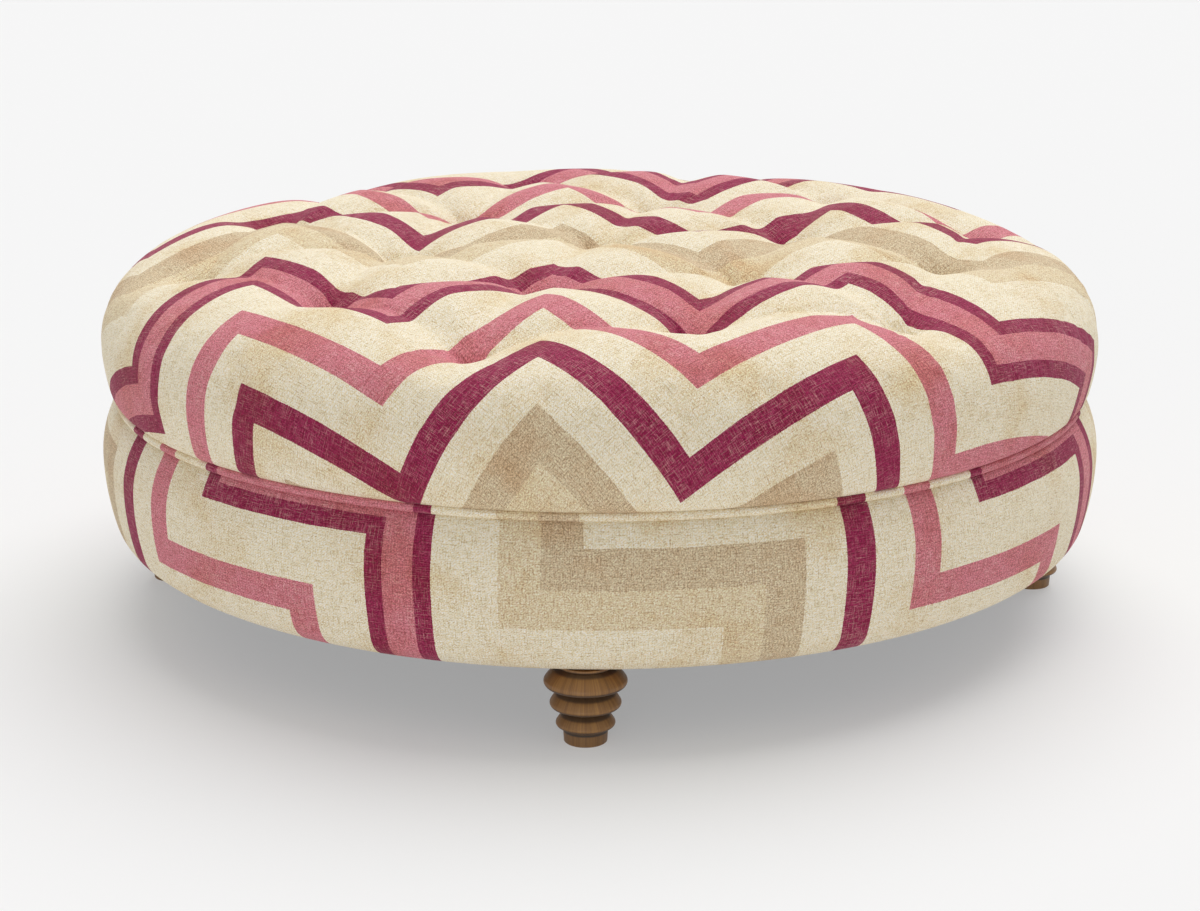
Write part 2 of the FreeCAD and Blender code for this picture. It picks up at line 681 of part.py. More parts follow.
def bead_corners(spoke, first, last):
    """Corners of the bead's section from one flat's number to another, counted round from outwards."""
    corners = []
    for number in range(first, last):
        x, z = on_circle(spoke, number * 360 / BEAD_FLATS)
        corners.append(("piping_circle + " + x, "piping_height + " + z))
    return tuple(corners)


def piping_cover():
    """The bead round the cord, run out into the flange on the deck. Its channel's flats touch the cord."""
    flange_top = "deck_top + flange_thick"
    flange_end = "piping_circle - piping_radius"
    round_bead = bead_corners("piping_radius", 2 - BEAD_FLATS // 2, BEAD_FLATS // 2)
    body = revolved("piping_shell", (
        ("flange_inner", "deck_top"), (flange_end, "deck_top"), *round_bead,
        (flange_end, flange_top), ("flange_inner", flange_top)))
    channel_spoke = "(cord_radius / cos(180 / %d))" % BEAD_FLATS
    channel = outline(body, "XZ_Plane", bead_corners(channel_spoke, 0, BEAD_FLATS))
    feature(body, "Groove", channel)
    return body


keep(cord_ring(), "piping_cord")
keep(piping_cover(), "piping_cover")

doc.recompute()
for thing in doc.Objects:
    if "Invalid" in thing.State or "Error" in thing.State:
        raise RuntimeError(thing.Label + ": " + str(thing.State))
for piece in PARTS:
    if piece.Shape.isNull() or not piece.Shape.isValid():
        raise RuntimeError(piece.Label + " has no valid shape")
for piece in PARTS:
    piece.Shape.exportStep("parts/" + piece.Label + ".step")
print(len(PARTS), "pieces")
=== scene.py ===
import math

import bmesh
import bpy
import numpy as np
from mathutils import Matrix, Vector


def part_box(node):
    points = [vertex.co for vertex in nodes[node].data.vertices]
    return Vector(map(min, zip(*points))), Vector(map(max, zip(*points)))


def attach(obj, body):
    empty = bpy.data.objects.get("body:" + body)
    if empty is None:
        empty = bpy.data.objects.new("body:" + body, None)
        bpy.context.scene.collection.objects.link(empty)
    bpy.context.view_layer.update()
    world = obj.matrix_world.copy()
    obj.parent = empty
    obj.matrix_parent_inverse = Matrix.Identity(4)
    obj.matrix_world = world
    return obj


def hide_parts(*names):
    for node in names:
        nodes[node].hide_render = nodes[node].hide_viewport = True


# Large round tuffet: tufted top cushion, piped border and four turned legs.
# Metres, in the frame of the construction: origin on the floor under the centre, the front leg on -Y.
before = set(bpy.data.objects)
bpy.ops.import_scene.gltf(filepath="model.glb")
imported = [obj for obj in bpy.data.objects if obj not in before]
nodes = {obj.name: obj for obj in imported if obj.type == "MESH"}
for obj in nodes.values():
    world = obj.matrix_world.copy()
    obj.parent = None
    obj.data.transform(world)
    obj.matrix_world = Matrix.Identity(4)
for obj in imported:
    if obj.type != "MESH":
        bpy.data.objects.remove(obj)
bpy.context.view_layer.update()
scene = bpy.context.scene

MM = 0.001
FULL_TURN = 2 * math.pi

# Heights and radii read from the construction
seat_radius, seat_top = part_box("top_cover")[1].x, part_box("top_cover")[1].z
tuck_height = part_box("top_cover")[0].z
border_radius, border_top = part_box("border_cover")[1].x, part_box("border_cover")[1].z
border_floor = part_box("border_cover")[0].z
piping_reach, piping_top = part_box("piping_cover")[1].x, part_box("piping_cover")[1].z
dust_floor, dust_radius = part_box("dust_cover")[0].z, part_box("dust_cover")[1].x

# The cushion's outline, as the construction has it
SEAT_MID = 323.5 * MM
SHOULDER_SWEEP = 37 * MM
HAUNCH_SWEEP = 340 * MM
FLANK_SWEEP = 294.5 * MM
TUCK_SWEEP = 14 * MM
# The border's outline
BORDER_MID = 178.5 * MM
UPPER_SWEEP = 103.5 * MM
CORNER_SWEEP = 36.5 * MM
CORNER_CIRCLE = 507.5 * MM
TURN_UNDER = 440 * MM
# Piping
BEAD = 4.5 * MM
FLANGE_THICK = 1.2 * MM
FLANGE_INNER = 505 * MM
CLOTH = 1.5 * MM
SETTLED = 2.5 * MM
# Tufts: a hexagonal grid, turned from +X
TUFT_GAP = 222 * MM
TUFT_TURN = math.radians(15)
TUFT_FLOOR = 357 * MM


def arc(centre, radius, start, end, steps):
    """Points of an arc between two angles in degrees."""
    angles = np.radians(np.linspace(start, end, steps))
    return [(centre[0] + radius * math.cos(a), centre[1] + radius * math.sin(a)) for a in angles]


def heading(start, end):
    """The angle in degrees from one point to another."""
    return math.degrees(math.atan2(end[1] - start[1], end[0] - start[0]))


def tangent_centre(outer, radius, inner_radius, height):
    """Centre of an arc at a height that touches a larger arc from inside, on its outer side."""
    span = radius - inner_radius
    return outer[0] + math.sqrt(span ** 2 - (outer[1] - height) ** 2), height


def seat_line():
    """The cushion's outline from the centre of its top, over the shoulder, to the tuck at the seam."""
    shoulder = (seat_radius - SHOULDER_SWEEP, SEAT_MID)
    haunch_height = seat_top - HAUNCH_SWEEP
    drop = SEAT_MID - haunch_height
    haunch = (shoulder[0] - math.sqrt((HAUNCH_SWEEP - SHOULDER_SWEEP) ** 2 - drop ** 2), haunch_height)
    flank = (seat_radius - FLANK_SWEEP, SEAT_MID)
    tuck = tangent_centre(flank, FLANK_SWEEP, TUCK_SWEEP, tuck_height + TUCK_SWEEP)
    turn, tuck_turn = heading(haunch, shoulder), heading(flank, tuck)
    flat = [(r, seat_top) for r in np.linspace(0, haunch[0], 14)[:-1]]
    upper = arc(haunch, HAUNCH_SWEEP, 90, turn, 12)[:-1] + arc(shoulder, SHOULDER_SWEEP, turn, 0, 9)[:-1]
    lower = arc(flank, FLANK_SWEEP, 0, tuck_turn, 8)[:-1] + arc(tuck, TUCK_SWEEP, tuck_turn, -90, 7)
    return flat + upper + lower


def border_line():
    """The border's outline from the inner edge of its turned cloth, round the side, to the piping."""
    corner = (CORNER_CIRCLE, border_floor + CORNER_SWEEP)
    inwards, rise = border_radius - CORNER_CIRCLE, BORDER_MID - corner[1]
    side_sweep = (inwards ** 2 + rise ** 2 - CORNER_SWEEP ** 2) / (2 * (inwards - CORNER_SWEEP))
    side = (border_radius - side_sweep, BORDER_MID)
    upper = (border_radius - UPPER_SWEEP, BORDER_MID)
    turn = heading(side, corner)
    top_turn = math.degrees(math.asin((border_top - BORDER_MID) / UPPER_SWEEP))
    under = [(r, border_floor) for r in np.linspace(TURN_UNDER, CORNER_CIRCLE, 9)[:-1]]
    tucked = [(piping_reach - 2 * BEAD, border_top + BEAD / 4)]
    return (under + arc(corner, CORNER_SWEEP, -90, turn, 10)[:-1] + arc(side, side_sweep, turn, 0, 9)[:-1]
            + arc(upper, UPPER_SWEEP, 0, top_turn, 9) + tucked)


def tuft_places():
    """The centre tuft, its six neighbours, then the corners and mids of the outer hexagon."""
    places = [Vector((0, 0))]
    for distance, offset in ((TUFT_GAP, 0), (2 * TUFT_GAP, 0), (TUFT_GAP * math.sqrt(3), math.pi / 6)):
        for step in range(6):
            angle = TUFT_TURN + offset + step * math.pi / 3
            places.append(Vector((distance * math.cos(angle), distance * math.sin(angle))))
    return places


def runs(line):
    """The length run along a line of points, up to each point."""
    points = np.array(line)
    return np.concatenate([[0], np.cumsum(np.hypot(*np.diff(points, axis=0).T))])


def run_at(line, radii, heights):
    """The length run along an outline at its nearest point to each radius and height."""
    points, lengths = np.array(line), runs(line)
    best, found = np.full(len(radii), np.inf), np.zeros(len(radii))
    for start, end, length in zip(points, points[1:], lengths):
        step = end - start
        share = ((radii - start[0]) * step[0] + (heights - start[1]) * step[1]) / (step @ step)
        share = np.clip(share, 0, 1)
        away = np.hypot(radii - start[0] - share * step[0], heights - start[1] - share * step[1])
        nearer = away < best
        best[nearer] = away[nearer]
        found[nearer] = (length + share * np.hypot(*step))[nearer]
    return found


def spun(profile, steps, closed=False):
    """A mesh spun round the Z axis from a profile of radii and heights."""
    bm = bmesh.new()
    corners = [bm.verts.new((radius, 0, height)) for radius, height in profile]
    edges = [bm.edges.new(pair) for pair in zip(corners, corners[1:])]
    if closed:
        edges.append(bm.edges.new((corners[-1], corners[0])))
    bmesh.ops.spin(bm, geom=corners + edges, cent=(0, 0, 0), axis=(0, 0, 1), angle=FULL_TURN,
                   steps=steps, use_merge=True)
    bmesh.ops.remove_doubles(bm, verts=bm.verts, dist=MM / 100)
    bmesh.ops.recalc_face_normals(bm, faces=bm.faces)
    return bm


def piece(name, bm, finish, smooth=True):
    """An object from a bmesh, with its finish, riding on the tuffet."""
    mesh = bpy.data.meshes.new(name)
    bm.to_mesh(mesh)
    bm.free()
    made = bpy.data.objects.new(name, mesh)
    scene.collection.objects.link(made)
    mesh.materials.append(finish)
    mesh.polygons.foreach_set("use_smooth", [smooth] * len(mesh.polygons))
    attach(made, "root")
    return made


def points_of(mesh):
    found = np.empty(len(mesh.vertices) * 3)
    mesh.vertices.foreach_get("co", found)
    return found.reshape(-1, 3)


def put_points(mesh, points):
    mesh.vertices.foreach_set("co", points.ravel())
    mesh.update()


def lay_cloth(mesh, across, along, wrap=0.0):
    """A UV map in metres of cloth, from each vertex's place on it. A wrap joins the ends of the round."""
    corners = np.empty(len(mesh.loops), int)
    mesh.loops.foreach_get("vertex_index", corners)
    places = np.stack([across[corners], along[corners]], 1)
    if wrap:
        for face in mesh.polygons:
            span = slice(face.loop_start, face.loop_start + face.loop_total)
            low = places[span, 0] < places[span, 0].max() - wrap / 2
            places[span, 0] += low * wrap
    layer = mesh.uv_layers.new(name="cloth")
    layer.data.foreach_set("uv", places.ravel())


# Materials
def tone(red, green, blue):
    """A colour given as it looks, from 0 to 255, in the linear values that shaders take."""
    def linear(share):
        return share / 12.92 if share <= 0.04045 else ((share + 0.055) / 1.055) ** 2.4
    return tuple(linear(value / 255) for value in (red, green, blue)) + (1.0,)


class Finish:
    """A material that is built up node by node."""

    def __init__(self, name, **surface):
        self.material = bpy.data.materials.new(name)
        self.material.use_nodes = True
        self.tree = self.material.node_tree
        self.shader = self.tree.nodes["Principled BSDF"]
        self.join(self.shader, surface)

    def join(self, node, values):
        """Link or set a node's inputs. An underscore in a name stands for a space."""
        for name, value in values.items():
            socket = node.inputs[name if isinstance(name, int) else name.replace("_", " ")]
            if isinstance(value, bpy.types.NodeSocket):
                self.tree.links.new(value, socket)
            else:
                socket.default_value = value

    def node(self, kind, settings=None, **values):
        made = self.tree.nodes.new("ShaderNode" + kind)
        for name, value in (settings or {}).items():
            setattr(made, name, value)
        self.join(made, values)
        return made

    def sum(self, operation, *values, clamp=False):
        made = self.node("Math", {"operation": operation, "use_clamp": clamp})
        self.join(made, dict(enumerate(values)))
        return made.outputs[0]

    def place(self, scale=(1, 1, 1), move=(0, 0, 0), turn=0.0, source="Object"):
        """Object coordinates, or the cloth's own, moved, turned about Z and scaled."""
        if source == "Object":
            where = self.node("TexCoord").outputs["Object"]
        else:
            where = self.node("UVMap", {"uv_map": source}).outputs[0]
        return self.node("Mapping", Vector=where, Location=move, Rotation=(0, 0, turn),
                         Scale=scale).outputs[0]

    def speckle(self, where, scale=1.0, detail=2.0, rough=0.5):
        return self.node("TexNoise", Vector=where, Scale=scale, Detail=detail, Roughness=rough).outputs[0]

    def spread(self, value, low, high, to_low=0.0, to_high=1.0):
        return self.node("MapRange", Value=value, From_Min=low, From_Max=high, To_Min=to_low,
                         To_Max=to_high).outputs[0]

    def ramp(self, share, stops, interpolation="LINEAR"):
        """A colour ramp from stops of place and colour."""
        made = self.node("ValToRGB", Fac=share)
        made.color_ramp.interpolation = interpolation
        elements = made.color_ramp.elements
        for element, (where, colour) in zip(elements, (stops[0], stops[-1])):
            element.position, element.color = where, colour
        for where, colour in stops[1:-1]:
            elements.new(where).color = colour
        return made.outputs[0]

    def blend(self, share, first, second, kind="MIX"):
        made = self.node("Mix", {"data_type": "RGBA", "blend_type": kind})
        self.join(made, {0: share, 6: first, 7: second})
        return made.outputs[2]

    def bump(self, height, depth, strength=1.0, under=None):
        values = {"Height": height, "Distance": depth, "Strength": strength}
        if under is not None:
            values["Normal"] = under
        return self.node("Bump", **values).outputs[0]

    def done(self, **values):
        self.join(self.shader, values)
        return self.material


CREAM = tone(250, 238, 206)
SAND = tone(228, 209, 175)
DARK_SAND = tone(205, 187, 157)
PINK = tone(202, 120, 134)
RASPBERRY = tone(140, 24, 74)
# The print: stripes that turn at right angles, alternately along the warp and the weft.
# Each is its colour and its width across the stripe.
STRIPES = (
    (RASPBERRY, 18), (PINK, 32), (RASPBERRY, 18), (CREAM, 66), (SAND, 42), (DARK_SAND, 40),
    (CREAM, 44), (RASPBERRY, 32), (CREAM, 48), (PINK, 34), (CREAM, 60),
)
# Four repeats of the print go round the border
BORDER_REPEATS = 4
BORDER_SHIFT = 5 * MM
REPEAT = FULL_TURN * border_radius / BORDER_REPEATS
STRIPE_RUN = REPEAT / math.sqrt(2)
STRIPE_TOTAL = sum(width for _, width in STRIPES)
# The weave, in cells per metre of cloth: across a thread, along it, across a twill line and a fleck
THREAD, SLUB, TWILL, FLECK = 950, 70, 150.0, 560
TWILL_TURN = math.radians(52)
# How far the print's edges stray, in fine steps and in long ones
FRAYED, WANDERING = 2.2 * MM, 3 * MM
# How far each band of painted shade on a leg fades at its ends
PAINTED_SHADE_FADE = 1.6 * MM


def printed_linen():
    """Slubby linen, printed in stripes, with faded patches and lighter threads both ways."""
    linen = Finish("printed_linen", Roughness=0.88, Sheen_Weight=0.06, Sheen_Roughness=0.5,
                   Specular_IOR_Level=0.25)
    cloth = linen.place(source="cloth")
    # Uneven threads both ways, and the fine slanting lines of a twill
    warp = linen.speckle(linen.place((THREAD, SLUB, 1), source="cloth"), detail=3, rough=0.6)
    weft = linen.speckle(linen.place((SLUB, THREAD, 1), (0, 0, 5), source="cloth"), detail=3, rough=0.6)
    slant = linen.node("TexWave", {"bands_direction": "X"}, Scale=TWILL, Distortion=1.6, Detail=2.0,
                       Vector=linen.place(turn=TWILL_TURN, source="cloth")).outputs[1]
    grit = linen.speckle(cloth, FLECK, 3, 0.72)
    edge = linen.sum("MULTIPLY", linen.sum("SUBTRACT", linen.speckle(cloth, 700), 0.5), FRAYED)
    wander = linen.sum("MULTIPLY", linen.sum("SUBTRACT", linen.speckle(cloth, 18), 0.5), WANDERING)
    turned = linen.node("SeparateXYZ", Vector=linen.place(turn=math.radians(45), source="cloth"))
    zigzag = linen.sum("PINGPONG", turned.outputs[0], STRIPE_RUN / 4)
    height = linen.sum("ADD", linen.sum("ADD", turned.outputs[1], zigzag), linen.sum("ADD", edge, wander))
    share = linen.sum("FRACT", linen.sum("DIVIDE", height, STRIPE_RUN))
    stops, start = [], 0
    for colour, width in STRIPES:
        stops.append((start / STRIPE_TOTAL, colour))
        start += width
    printed = linen.ramp(share, stops, "CONSTANT")
    # The ink sits unevenly on the threads: light ones show through it, more so where it has faded
    threads = linen.sum("MAXIMUM", warp, weft)
    clouds = linen.speckle(cloth, 14, 4, 0.65)
    faded = linen.spread(clouds, 0.38, 0.66, 0.35, 1.0)
    light_threads = linen.sum("MULTIPLY", linen.spread(threads, 0.52, 0.68), faded)
    colour = linen.blend(light_threads, printed, linen.blend(0.34, printed, tone(250, 222, 206)))
    dark_threads = linen.spread(linen.sum("MINIMUM", warp, weft), 0.5, 0.34, 0.0, 0.7)
    colour = linen.blend(dark_threads, colour, linen.blend(1.0, colour, tone(188, 170, 150), "MULTIPLY"))
    lines = linen.sum("MULTIPLY", slant, 0.2)
    colour = linen.blend(lines, colour, linen.blend(1.0, colour, tone(184, 162, 136), "MULTIPLY"))
    patches = linen.speckle(linen.place(move=(3, 7, 0), source="cloth"), 9, 5, 0.6)
    stains = linen.spread(patches, 0.48, 0.68, 0, 0.9)
    colour = linen.blend(stains, colour, linen.blend(1.0, colour, tone(232, 216, 200), "MULTIPLY"))
    specks = linen.spread(grit, 0.36, 0.64, 0.0, 1.0)
    grain = linen.blend(specks, tone(150, 142, 134), tone(255, 255, 255))
    colour = linen.blend(0.8, colour, grain, "OVERLAY")
    relief = linen.sum("ADD", linen.sum("ADD", warp, weft), linen.sum("MULTIPLY", slant, 0.3))
    weave = linen.bump(relief, 0.5 * MM, 0.7)
    return linen.done(Base_Color=colour, Normal=linen.bump(grit, 0.4 * MM, 0.5, weave))


def stained_leg_and_painted_shade(name, centre, painted_shades):
    """Stained wood with fine grain that runs out over each ring, with painted shade in bands at the given
    heights.
    """
    wood = Finish(name, Coat_Weight=0.15, Coat_Roughness=0.35)
    local = wood.place(move=(-centre.x, -centre.y, 0))
    flat = wood.node("VectorMath", {"operation": "MULTIPLY"})
    wood.join(flat, {0: local, 1: (1, 1, 0)})
    round_way = wood.node("VectorMath", {"operation": "NORMALIZE"})
    wood.join(round_way, {0: flat.outputs[0]})
    height = wood.node("SeparateXYZ", Vector=local).outputs[2]
    along = wood.node("CombineXYZ", Z=wood.sum("MULTIPLY", height, 9.0))
    fibre = wood.node("VectorMath", {"operation": "MULTIPLY_ADD"})
    wood.join(fibre, {0: round_way.outputs[0], 1: (16, 16, 16), 2: along.outputs[0]})
    broad = wood.speckle(fibre.outputs[0], 0.35, 3, 0.6)
    fine = wood.speckle(fibre.outputs[0], 2.6, 4, 0.65)
    stain = [(0.3, tone(134, 93, 46)), (0.5, tone(156, 111, 57)), (0.72, tone(174, 127, 68))]
    colour = wood.ramp(broad, stain)
    grain = wood.spread(fine, 0.35, 0.62, 0.55, 0.0)
    colour = wood.blend(grain, colour, tone(96, 62, 32))
    # Painted shade: the wood is darkened in bands, in the groove under each ring and over the foot
    painted_shade = 0.0
    for low, high, depth in painted_shades:
        middle, half = (low + high) / 2, (high - low) / 2
        away = wood.sum("ABSOLUTE", wood.sum("SUBTRACT", height, middle))
        band = wood.spread(away, half, half + PAINTED_SHADE_FADE, depth, 0.0)
        painted_shade = wood.sum("ADD", painted_shade, band, clamp=True)
    colour = wood.blend(painted_shade, colour, tone(50, 34, 22))
    return wood.done(Base_Color=colour, Roughness=wood.spread(fine, 0.3, 0.7, 0.42, 0.6),
                     Normal=wood.bump(fine, 0.25 * MM, 0.5))


def plain_timber(name, light, dark, turn):
    """Sawn softwood whose grain runs along its length."""
    wood = Finish(name)
    fibre = wood.speckle(wood.place((4, 90, 90), turn=turn), 1.0, 4, 0.6)
    rings = wood.node("TexWave", {"bands_direction": "Y"}, Vector=wood.place((1, 14, 14), turn=turn),
                      Scale=1.0, Distortion=3.0, Detail=2.0).outputs[1]
    colour = wood.blend(wood.sum("MULTIPLY", rings, 0.5), light, dark)
    colour = wood.blend(wood.spread(fibre, 0.45, 0.7, 0, 0.4), colour, dark)
    return wood.done(Base_Color=colour, Roughness=wood.spread(fibre, 0.3, 0.7, 0.55, 0.75),
                     Normal=wood.bump(fibre, 0.4 * MM, 0.5))


def plywood():
    """Birch plywood: a pale face grain, and layers that show at the edges."""
    board = Finish("plywood")
    height = board.node("SeparateXYZ", Vector=board.place()).outputs[2]
    layer = board.sum("PINGPONG", height, 2.0 * MM)
    fibre = board.speckle(board.place((6, 160, 160)), 1.0, 4, 0.6)
    colour = board.ramp(fibre, [(0.3, tone(205, 172, 126)), (0.7, tone(228, 200, 158))])
    facing = board.node("SeparateXYZ", Vector=board.node("NewGeometry").outputs["Normal"]).outputs[2]
    edge = board.spread(board.sum("ABSOLUTE", facing), 0.4, 0.2)
    colour = board.blend(board.sum("MULTIPLY", edge, board.spread(layer, 0.8 * MM, 1.2 * MM, 0, 0.7)),
                         colour, tone(140, 102, 64))
    return board.done(Base_Color=colour, Roughness=0.6, Normal=board.bump(fibre, 0.2 * MM, 0.4))


def fibre_filling(name, colour, dark, scale, depth):
    """Foam cells or fluffy fibres."""
    filling = Finish(name, Roughness=0.95)
    cells = filling.node("TexVoronoi", Vector=filling.place(), Scale=scale).outputs[0]
    lumps = filling.speckle(filling.place(), scale / 12, 4, 0.6)
    mixed = filling.blend(filling.spread(lumps, 0.35, 0.7), dark, colour)
    mixed = filling.blend(filling.spread(cells, 0.5, 0.1, 0, 0.4), mixed, dark)
    return filling.done(Base_Color=mixed, Normal=filling.bump(cells, depth, 0.7))


def twisted(name, colour, dark, stretch):
    """Twisted yarn: slanting strands along the piece."""
    yarn = Finish(name, Roughness=0.9, Sheen_Weight=0.2)
    strands = yarn.node("TexWave", {"bands_direction": "DIAGONAL"}, Vector=yarn.place(stretch),
                        Scale=1.0, Distortion=1.0, Detail=2.0).outputs[1]
    fuzz = yarn.speckle(yarn.place(), 2500, 3)
    mixed = yarn.blend(strands, dark, colour)
    mixed = yarn.blend(yarn.spread(fuzz, 0.4, 0.8, 0, 0.3), mixed, dark)
    return yarn.done(Base_Color=mixed, Normal=yarn.bump(strands, 0.3 * MM, 0.7))


def bonded_cloth():
    """Dark bonded dust cloth, with the small welded dots that such cloth has."""
    cloth = Finish("bonded_dust_cloth", Roughness=0.9, Sheen_Weight=0.3)
    dots = cloth.node("TexVoronoi", Vector=cloth.place((1, 1, 0.2)), Scale=600, Randomness=0.25).outputs[0]
    fibres = cloth.speckle(cloth.place(), 900, 4, 0.7)
    colour = cloth.ramp(fibres, [(0.3, tone(38, 37, 38)), (0.7, tone(66, 64, 65))])
    colour = cloth.blend(cloth.spread(dots, 0.35, 0.2, 0, 0.5), colour, tone(28, 27, 28))
    return cloth.done(Base_Color=colour, Normal=cloth.bump(dots, 0.2 * MM, 0.6))


def zinc_steel():
    """Zinc plated steel, faintly cloudy."""
    metal = Finish("zinc_plated_steel", Metallic=1.0)
    clouds = metal.speckle(metal.place(), 180, 4, 0.6)
    colour = metal.ramp(clouds, [(0.3, tone(168, 170, 172)), (0.7, tone(205, 206, 204))])
    return metal.done(Base_Color=colour, Roughness=metal.spread(clouds, 0.3, 0.7, 0.28, 0.45),
                      Normal=metal.bump(clouds, 0.05 * MM, 0.3))


LINEN = printed_linen()
TIMBER_ALONG_X = plain_timber("softwood_along_x", tone(222, 190, 142), tone(186, 146, 98), 0.0)
TIMBER_ALONG_Y = plain_timber("softwood_along_y", tone(222, 190, 142), tone(186, 146, 98), math.pi / 2)
DOWEL = plain_timber("dowel_wood", tone(216, 184, 138), tone(178, 138, 92), 0.0)
PLYWOOD = plywood()
FOAM = fibre_filling("seat_foam_cells", tone(236, 226, 196), tone(206, 192, 156), 900, 0.6 * MM)
WADDING = fibre_filling("polyester_wadding", tone(244, 244, 242), tone(214, 214, 212), 260, 1.5 * MM)
TWINE = twisted("waxed_twine", tone(206, 190, 152), tone(150, 130, 94), (400, 400, 900))
CORD = twisted("cotton_cord", tone(232, 226, 210), tone(188, 180, 160), (320, 320, 700))
DUST_CLOTH = bonded_cloth()
ZINC = zinc_steel()


# Soft pieces
SEAT_LINE = seat_line()
BORDER_LINE = border_line()
# Faces round each piece, and staples round the dust cloth
CUSHION_STEPS, BORDER_STEPS, PIPING_STEPS, DUST_CLOTH_STEPS = 160, 288, 360, 180
STAPLES = 64
VOXEL = 6 * MM
SWELL_CAP = 12 * MM
# Each tuft holds the cloth fast near its middle, and lets it go a little further out
HELD, HELD_REACH = 1.6, 6 * MM
SIMULATED_FRAMES, SOLVER_STEPS = 20, 5
PRESSURE = 4.0
STRETCH_STIFFNESS, BEND_STIFFNESS = 15, 0.5
TUFTS = tuft_places()
INNER_TUFTS = 7
# The cloth lies at 45 degrees on the top, so that its stripes zigzag across it
TOP_TURN = math.radians(-45)
PRINT_SHIFT = Vector((0.045, 0.24))
# Each tuft draws the cushion down in a funnel, in valleys to its neighbours and in short sharp pleats
FUNNEL_REACH = 27 * MM
VALLEY_DEPTH, VALLEY_REACH = 15 * MM, 30 * MM
OUTWARD_DEPTH, OUTWARD_RUN = 12 * MM, 100 * MM
PLEAT_DEPTH, PLEAT_REACH, PLEAT_RUN = 9 * MM, 3.2 * MM, 60 * MM
PLEAT_TURN = math.radians(9)
NEIGHBOURS = [(first, second) for first, tuft in enumerate(TUFTS) for second, other in enumerate(TUFTS)
              if 0 < (other - tuft).length < 1.1 * TUFT_GAP]
PLEAT_BLUNT, PLEAT_VARIES = 1 * MM, 0.3
# A ridge stands on either side of a pleat, by this share of its depth and this many times its reach
RIDGE_SHARE, RIDGE_SPREAD = 0.35, 3
TUFT_BLUNT, TUFT_VARIES, VALLEY_BLUNT = 3 * MM, 0.12, 14 * MM
UNEVEN = 2 * MM
# The pillows stand a little proud of the cushion's even outline, but not near its rim
PILLOW_RISE, PILLOW_RIM, PILLOW_FADE = 4.5 * MM, 500 * MM, 120 * MM


def pull(away, reach, blunt):
    """A pull that fades with distance, blunt at its deepest."""
    return np.exp(-(np.hypot(away, blunt) - blunt) / reach)


def beside(flat, start, end):
    """Distance of each point from a line, and how far along the line its nearest point is, from 0 to 1."""
    run = end - start
    share = np.clip(((flat - start) @ run) / (run @ run), 0, 1)
    return np.hypot(*(flat - start - share[:, None] * run).T), share


def tuft_distance(points):
    """Distance of each point from its nearest tuft, seen from above."""
    return np.min([np.hypot(points[:, 0] - tuft.x, points[:, 1] - tuft.y) for tuft in TUFTS], axis=0)


def tufted_depth(points):
    """How far the tufts draw each point of the top down."""
    flat = points[:, :2]
    tufts = np.array(TUFTS)
    line = np.array(SEAT_LINE)
    line = line[:line[:, 0].argmax() + 1]
    level = np.interp(np.hypot(*tufts.T), line[:, 0], line[:, 1])
    uneven = 1 + TUFT_VARIES * np.sin(np.arange(len(tufts)) * 2.4)
    depth = np.zeros(len(flat))
    for tuft, top, share in zip(tufts, level, uneven):
        away = np.hypot(*(flat - tuft).T)
        depth += (top - TUFT_FLOOR - VALLEY_DEPTH) * pull(away, FUNNEL_REACH * share, TUFT_BLUNT)
    valley = np.zeros(len(flat))
    for first, second in NEIGHBOURS:
        away, _ = beside(flat, tufts[first], tufts[second])
        drawn = VALLEY_DEPTH * uneven[second] * pull(away, VALLEY_REACH, VALLEY_BLUNT)
        valley = np.maximum(valley, drawn)
    for tuft in tufts[INNER_TUFTS:]:
        away, share = beside(flat, tuft, tuft * (1 + OUTWARD_RUN / np.hypot(*tuft)))
        drawn = OUTWARD_DEPTH * (1 - share) * pull(away, VALLEY_REACH, VALLEY_BLUNT)
        valley = np.maximum(valley, drawn)
    return depth + valley


def pleat_depth(points):
    """How deep the pleats are that run from each tuft towards its neighbours, ridged on either side."""
    flat = points[:, :2]
    tufts = np.array(TUFTS)
    depth = np.zeros(len(flat))
    for first, second in NEIGHBOURS:
        tuft = tufts[first]
        turn = PLEAT_TURN * math.sin(first * 5.1 + second * 3.7)
        turned = np.array([[math.cos(turn), math.sin(turn)], [-math.sin(turn), math.cos(turn)]])
        way = (tufts[second] - tuft) @ turned
        run = PLEAT_RUN * (1 + PLEAT_VARIES * math.sin(first * 2.3 + second * 4.9))
        away, share = beside(flat, tuft, tuft + way * run / TUFT_GAP)
        ridge = RIDGE_SHARE * pull(away, RIDGE_SPREAD * PLEAT_REACH, PLEAT_BLUNT)
        fold = pull(away, PLEAT_REACH, PLEAT_BLUNT) - ridge
        fold *= PLEAT_DEPTH * (1 - share) ** 1.5
        depth = np.where(np.abs(fold) > np.abs(depth), fold, depth)
    return depth


def refined(mesh, near):
    """Divide the faces of a mesh that lie near a tuft."""
    bm = bmesh.new()
    bm.from_mesh(mesh)
    close = near(points_of(mesh))
    bm.verts.ensure_lookup_table()
    edges = [edge for edge in bm.edges if all(close[vert.index] for vert in edge.verts)]
    bmesh.ops.subdivide_edges(bm, edges=edges, cuts=1, use_grid_fill=True)
    bm.to_mesh(mesh)
    bm.free()


def remeshed(source, voxel):
    """A copy of a mesh, remeshed evenly."""
    holder = bpy.data.objects.new("remeshed", source)
    scene.collection.objects.link(holder)
    modifier = holder.modifiers.new("even", "REMESH")
    modifier.mode, modifier.voxel_size = "VOXEL", voxel
    graph = bpy.context.evaluated_depsgraph_get()
    made = bpy.data.meshes.new_from_object(holder.evaluated_get(graph))
    bpy.data.objects.remove(holder)
    return made


